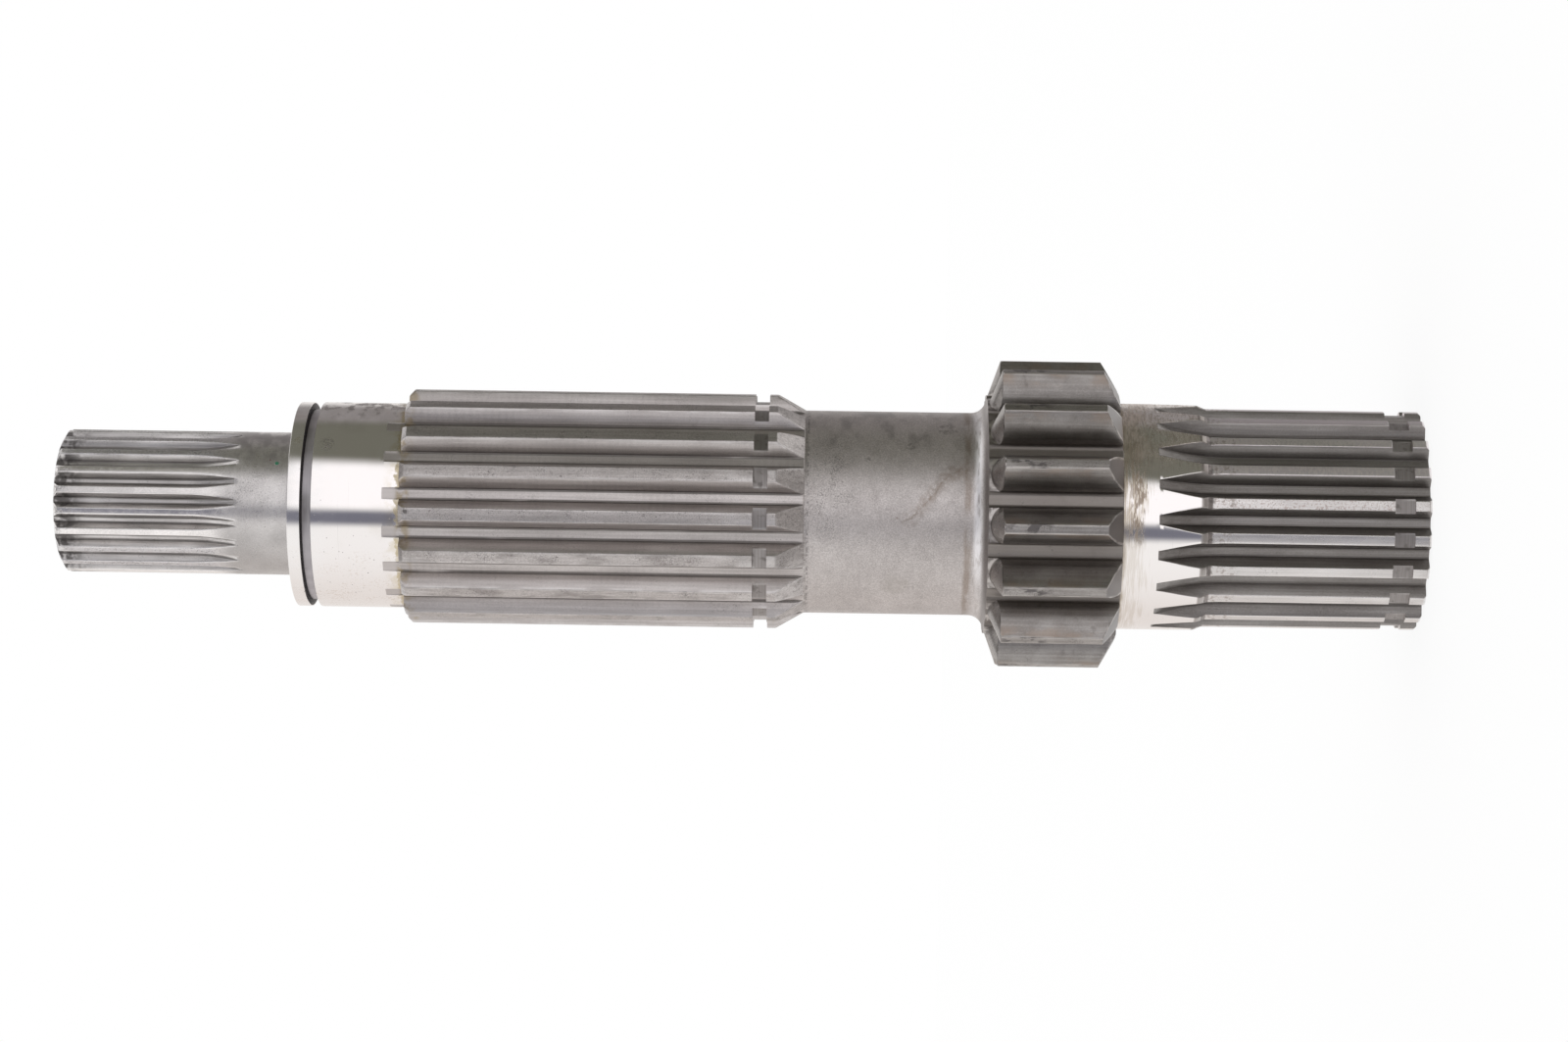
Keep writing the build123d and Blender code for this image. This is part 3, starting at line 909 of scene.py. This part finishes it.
@finish(warm_steel(0.62), 0.45)
def neck(f):
    f.shade(f.noise(13, detail=3), 0.09)
    f.shade(f.noise(2.4, around=2.0, detail=3), 0.06)
    grain(f, 0.3, 0.008, 0.22)
    f.rub(f.noise(2.0, detail=3), 0.04)
    # pitting, densest beside the spline on the side that faces -Y
    f.pits(0.2, 0.5, depth=0.008, by=0.4)
    beside = f.both(f.zone(137, 149, 5.0), f.side(16, 22, 16))
    f.pits(0.24, 0.9, beside, depth=0.012, by=0.55)
    f.pits(0.26, 0.7, f.both(f.zone(120, 149, 6.0), f.side(-130, 55, 25)), depth=0.012, by=0.5)
    f.cover(f.both(f.zone(147.8, 149.2, 0.4), f.patch(0.7, 0.42, 0.58, detail=4)), SOOT_AND_SHADE, 0.5, -0.02, 0.6)
    # dark smears on the upper side
    smears = f.both(f.side(74, 26, 14), f.patch(4.0, 0.46, 0.68, around=1.8, detail=4))
    f.cover(smears, (0.22, 0.2, 0.2), 0.42, by=0.45)
    for angle, height, size in ((55, 114.5, 2.2), (40, 123.5, 1.0), (31, 133.8, 0.7)):
        f.cover(f.both(f.spot(angle, NECK, height, size, 0.9), f.patch(0.9, 0.4, 0.6, detail=4)),
                (0.2, 0.18, 0.175), 0.42, by=0.5)
    shadow = f.both(f.spot(-44, NECK, 127, 3.4, 0.5), f.patch(3, 0.25, 0.6, detail=3))
    f.cover(shadow, (0.36, 0.33, 0.3), 0.45, by=0.35)
    # a thin brown stain that climbs across the neck towards the gear
    z = f.height_mm()
    angle = f.math("ARCTAN2", f.axes[0], f.math("MULTIPLY", f.axes[1], -1.0))
    path = f.node("MapRange", z, 112.0, 125.0, radians(24), radians(-4), interpolation_type="SMOOTHSTEP")
    wander = f.scaled(f.noise(1.3, detail=4), 0.16, f.math("SUBTRACT", angle, path.outputs[0]))
    off = f.math("ABSOLUTE", f.math("SUBTRACT", wander, 0.08))
    line = f.both(f.step(off, 0.022, 0.004), f.zone(110, 127.5, 1.2), f.patch(0.8, 0.36, 0.56, detail=3))
    f.cover(line, (0.24, 0.19, 0.15), 0.5, by=0.55)
    soft_stain = f.both(f.step(off, 0.15, 0.02), f.zone(109, 124, 3.0), f.patch(0.9, 0.3, 0.6, detail=4))
    f.cover(soft_stain, (0.33, 0.27, 0.23), by=0.6)
    # brown ring where the neck starts to flare, a painted highlight as a bright band on the flare, and
    # painted shade in the corner beside the gear
    ring = f.both(f.zone(109.0, 110.6, 0.5), f.patch(2.0, 0.34, 0.6, around=4, detail=4))
    f.cover(ring, (0.27, 0.205, 0.16), 0.42, by=0.6)
    # painted highlight: the bright band is strongest on the side towards the light
    rubbed_and_lit = f.scaled(f.side(22, 40, 30), 0.65, 0.2)
    flare_highlight = f.both(f.zone(106.4, 108.2, 0.6), f.patch(1.6, 0.25, 0.55, around=3, detail=3), rubbed_and_lit)
    f.cover(flare_highlight, (0.97, 0.95, 0.96), 0.42)
    streaks = f.both(f.zone(106.0, 108.9, 0.6), f.patch(0.6, 0.52, 0.66, around=8, detail=3))
    f.cover(streaks, (0.42, 0.38, 0.36), 0.35, by=0.5)
    # painted shade: darker in the corner where the flare meets the gear
    f.cover(f.zone(104, 106.0, 0.5), (0.2, 0.18, 0.17), 0.4, by=0.7)
    f.worn_edges_and_highlights(0.4)


def gear_steel(value):
    """Bare steel with a film of burnt oil: a brown grey."""
    return value, value * 0.93, value * 0.88


def gear_grain(f):
    f.shade(f.noise(8, detail=3), 0.16)
    grain(f, 0.25, 0.003, 0.12)
    f.rub(f.noise(2, detail=3), 0.04)
    f.cover(f.dots(2.2, 0.12, 0.3), (0.62, 0.58, 0.54), 0.3, by=0.7)


@finish(gear_steel(0.325), 0.34)
def gear_flank(f):
    gear_grain(f)
    drawn_lines(f, 0.6, 0.002, 0.13)
    tip = f.step(f.radius_mm(), 34.0, 37.0)
    film = f.both(tip, f.patch(5, 0.42, 0.62, along=2, detail=4))
    f.cover(film, (0.34, 0.26, 0.205), 0.38, by=0.55)
    f.cover(f.patch(3.2, 0.6, 0.76, detail=4), (0.13, 0.115, 0.105), 0.4, by=0.4)
    f.cover(f.step(f.radius_mm(), 30.2, 29.5), (0.26, 0.232, 0.212), 0.42, by=0.75)
    f.squiggles(0.9, f.patch(6, 0.5, 0.6), 0.5)
    f.root_dirt_and_shade(0.4)
    f.worn_edges_and_highlights(0.5, (0.62, 0.58, 0.55), 0.3)


@finish(gear_steel(0.36), 0.36)
def gear_land(f):
    gear_grain(f)
    drawn_lines(f, 0.5, 0.003, 0.18)
    bruise = f.both(f.zone(91, 101, 2.0), f.patch(1.6, 0.5, 0.58, along=2, detail=4))
    f.cover(bruise, (0.12, 0.11, 0.11), 0.5, -0.03, 0.8)
    f.pits(0.28, 0.72, depth=0.02)
    f.worn_edges_and_highlights(0.5, (0.62, 0.58, 0.55), 0.3)


@finish(gear_steel(0.35), 0.28)
def gear_end(f):
    gear_grain(f)
    f.cover(f.patch(2.6, 0.56, 0.72, detail=4), (0.17, 0.15, 0.138), 0.42, by=0.5)
    f.pits(0.25, 0.5)
    f.cover(f.zone(72, 78, 0.3), (0.215, 0.2, 0.195), 0.36, by=0.85)
    low = f.step(f.radius_mm(), 30.6, 29.6)
    f.cover(f.both(low, f.patch(1.4, 0.3, 0.55, detail=4)), (0.17, 0.15, 0.14), 0.45, by=0.75)
    f.worn_edges_and_highlights(0.6, (0.7, 0.66, 0.63), 0.28)


@finish(steel(0.74), 0.27)
def lower_land(f):
    f.shade(f.noise(10, along=2, detail=3), 0.1)
    drawn_lines(f, 0.5, 0.002, 0.12)
    f.rub(f.noise(2.4, along=3, detail=3), 0.03)
    # the upper side is grey with an oil film, the land towards -Y is stippled brown
    film = f.both(f.side(70, 42, 10), f.patch(12, 0.2, 0.5, along=2, detail=2))
    f.cover(film, (0.72, 0.655, 0.68), 0.38, by=0.85)
    rubbed_and_lit = f.both(f.side(33, 9, 5), f.patch(0.5, 0.4, 0.62, around=2, detail=4))
    f.cover(rubbed_and_lit, (0.88, 0.82, 0.8), 0.32, by=0.55)
    stipple = f.either(f.side(2, 6, 4), f.side(170, 40, 20))
    f.cover(f.both(stipple, f.patch(0.42, 0.5, 0.66, detail=4)), (0.4, 0.31, 0.28), 0.32, -0.006, 0.7)
    crown = f.both(f.zone(46, 53.5, 1.5), f.patch(1.0, 0.5, 0.64, detail=4))
    f.cover(crown, (0.32, 0.265, 0.23), 0.42, -0.01, 0.6)
    f.pits(0.22, 0.5, depth=0.01)
    f.cover(f.spot(-62, LOWER["tip"], 8.0, 0.5, 0.6), (0.25, 0.13, 0.07), 0.5, by=0.8)
    f.worn_edges_and_highlights(0.25)
    # painted dark reflection: the crown cone is darkened
    f.cover(f.zone(51.9, 54.3, 0.2), (0.29, 0.258, 0.245), 0.47, by=0.92)
    f.cover(f.both(f.zone(51.6, 54.3, 0.3), f.patch(1.1, 0.48, 0.6, detail=3)), SOOT_AND_SHADE, 0.5, by=0.5)


@finish((0.285, 0.265, 0.252), 0.36)
def lower_slot(f):
    drawn_lines(f, 0.6, 0.002, 0.14)
    f.shade(f.noise(9, along=3, detail=3), 0.12)
    grain(f, 0.26, 0.003, 0.1)
    f.cover(f.dots(2.6, 0.12, 0.3), (0.75, 0.71, 0.66), 0.3, by=0.8)
    f.pits(0.22, 0.5, depth=0.01)
    f.root_dirt_and_shade(0.5)
    f.worn_edges_and_highlights(0.3, (0.5, 0.47, 0.45), 0.32)


@finish(steel(0.5), 0.3)
def end_face(f):
    from_axis = f.node("CombineXYZ", f.radius_mm(), 0.0, 0.0).outputs[0]
    turned = f.node("TexNoise", from_axis, 0.0, 3.4, 3.0).outputs["Fac"]
    f.emboss(turned, 0.012)
    f.shade(turned, 0.25)
    f.shade(f.noise(9, detail=3), 0.14)
    f.pits(0.3, 0.7)
    f.cover(f.patch(5, 0.6, 0.72, detail=4), (0.32, 0.265, 0.2), 0.42, by=0.5)
    f.cover(f.step(f.radius_mm(), 4.6, 2.6), (0.14, 0.125, 0.115), 0.5, by=0.7)
    f.worn_edges_and_highlights(0.6)


# ----------------------------------------
# Studio and camera

ROLL, YAW = radians(0.88), radians(0.9)
AIM = Vector((-2.4, 0, 153.9)) * MM
DISTANCE = 873 * MM
LENS, SENSOR = 81.9, 36.0


def look(obj, where, towards, roll):
    """Turn obj so that its -Z looks at towards, with the shaft lying across the picture, large end right."""
    back = (where - towards).normalized()
    along = Vector((0, 0, -1))
    level = (along - back * along.dot(back)).normalized()
    up = back.cross(level)
    right = level * cos(roll) + up * sin(roll)
    up = up * cos(roll) - level * sin(roll)
    matrix = Matrix((right, up, back)).transposed().to_4x4()
    matrix.translation = where
    obj.matrix_world = matrix


def place_camera():
    data = bpy.data.cameras.new("camera")
    data.lens = LENS
    data.sensor_width = SENSOR
    data.clip_end = 50
    camera = placed("camera", data)
    bpy.context.scene.camera = camera
    look(camera, AIM + Vector((0, -cos(YAW), -sin(YAW))) * DISTANCE, AIM, ROLL)


def ease(x):
    x = min(max(x, 0), 1)
    return x * x * (3 - 2 * x)


def glowing(name, colour, strength):
    """A material that mixes a glow with another shader, and its nodes, links and mix."""
    material = bpy.data.materials.new(name)
    material.use_nodes = True
    nodes, links = material.node_tree.nodes, material.node_tree.links
    glow = nodes.new("ShaderNodeEmission")
    glow.inputs["Color"].default_value = (*colour, 1)
    glow.inputs["Strength"].default_value = strength
    mix = nodes.new("ShaderNodeMixShader")
    links.new(glow.outputs[0], mix.inputs[2])
    links.new(mix.outputs[0], nodes["Material Output"].inputs["Surface"])
    return material, nodes, links, mix


# Curved panels about the shaft, bright or dark, which fade out at their edges: name, angles of the two
# sides at the foot and at the top (degrees from the -Y side towards +X), radius, strength, colour, heights
# of foot and top, and how far it fades (degrees at each side, millimetres at foot and top).
PANELS = (
    ("soft_light", (-11, 30), (-5, 60), 700, 1.17, (0.985, 0.98, 1.0), (-130, 440), (6, 16, 70)),
    ("dark_line", (-29, -6), (-26, 0), 720, 1.0, (0.19, 0.195, 0.24), (-260, 620), (9, 9, 60)),
    ("dark_side", (22, 112), (43, 112), 740, 1.0, (0.165, 0.165, 0.137), (-260, 620), (12, 14, 60)),
    ("grey_side", (64, 164), (64, 164), 760, 1.0, (0.29, 0.275, 0.275), (-260, 620), (30, 30, 60)),
    ("warm_bounce", (-250, -40), (-250, -40), 780, 1.0, (0.86, 0.825, 0.8), (-260, 620), (90, 90, 90)),
    ("room_low", (-75, 75), (-75, 75), 900, 0.45, (1.0, 0.96, 0.94), (-2200, -120), (20, 20, 120)),
    ("room_front", (-30, 62), (-30, 62), 900, 0.4, (0.96, 0.96, 1.0), (430, 1500), (16, 16, 120)),
    ("room_high", (0, 359.9), (0, 359.9), 640, 0.3, (1.0, 0.97, 0.97), (1200, 3000), (0.01, 0.01, 120)),
)


def panel(name, low_span, high_span, radius, strength, colour, heights, soft):
    columns, rows = 40, 16
    places, cover = [], []
    for j in range(rows + 1):
        v = j / rows
        z = heights[0] + (heights[1] - heights[0]) * v
        start = low_span[0] + (high_span[0] - low_span[0]) * v
        end = low_span[1] + (high_span[1] - low_span[1]) * v
        for i in range(columns + 1):
            angle = start + (end - start) * i / columns
            a = radians(angle)
            places.append((radius * sin(a) * MM, -radius * cos(a) * MM, z * MM))
            inward = min((angle - start) / soft[0], (end - angle) / soft[1])
            upright = min(z - heights[0], heights[1] - z) / soft[2]
            cover.append(ease(inward) * ease(upright))
    width = columns + 1
    faces = [(j * width + i, j * width + i + 1, (j + 1) * width + i + 1, (j + 1) * width + i)
             for j in range(rows) for i in range(columns)]
    mesh = bpy.data.meshes.new(name)
    mesh.from_pydata(places, [], faces)
    mesh.attributes.new("cover", "FLOAT", "POINT").data.foreach_set("value", cover)
    material, nodes, links, mix = glowing(name, colour, strength)
    clear = nodes.new("ShaderNodeBsdfTransparent")
    fade = nodes.new("ShaderNodeAttribute")
    fade.attribute_name = "cover"
    links.new(fade.outputs["Fac"], mix.inputs[0])
    links.new(clear.outputs[0], mix.inputs[1])
    mesh.materials.append(material)
    obj = placed(name, mesh)
    obj.visible_camera = False
    obj.visible_diffuse = False
    obj.visible_shadow = False


def build_floor():
    half = 4.0
    corners = [(-half, -half, 0), (half, -half, 0), (half, half, 0), (-half, half, 0)]
    mesh = bpy.data.meshes.new("floor")
    mesh.from_pydata(corners, [], [(0, 1, 2, 3)])
    material, nodes, links, mix = glowing("floor", (1, 1, 1), 1.0)
    paint = nodes["Principled BSDF"]
    paint.inputs["Base Color"].default_value = (0.98, 0.98, 0.98, 1)
    paint.inputs["Roughness"].default_value = 0.9
    paint.inputs["Specular IOR Level"].default_value = 0.0
    mix.inputs[0].default_value = 0.85
    links.new(paint.outputs[0], mix.inputs[1])
    mesh.materials.append(material)
    floor = placed("floor", mesh)
    floor.location.z = -0.05 * MM
    floor.visible_glossy = False


def light_studio():
    world = bpy.data.worlds.new("world")
    bpy.context.scene.world = world
    world.use_nodes = True
    sky = world.node_tree.nodes["Background"]
    sky.inputs["Color"].default_value = (1, 1, 1, 1)
    sky.inputs["Strength"].default_value = 1.0
    for row in PANELS:
        panel(*row)


build_shaft()
place_camera()
build_floor()
light_studio()
bpy.context.scene.view_settings.view_transform = "Standard"
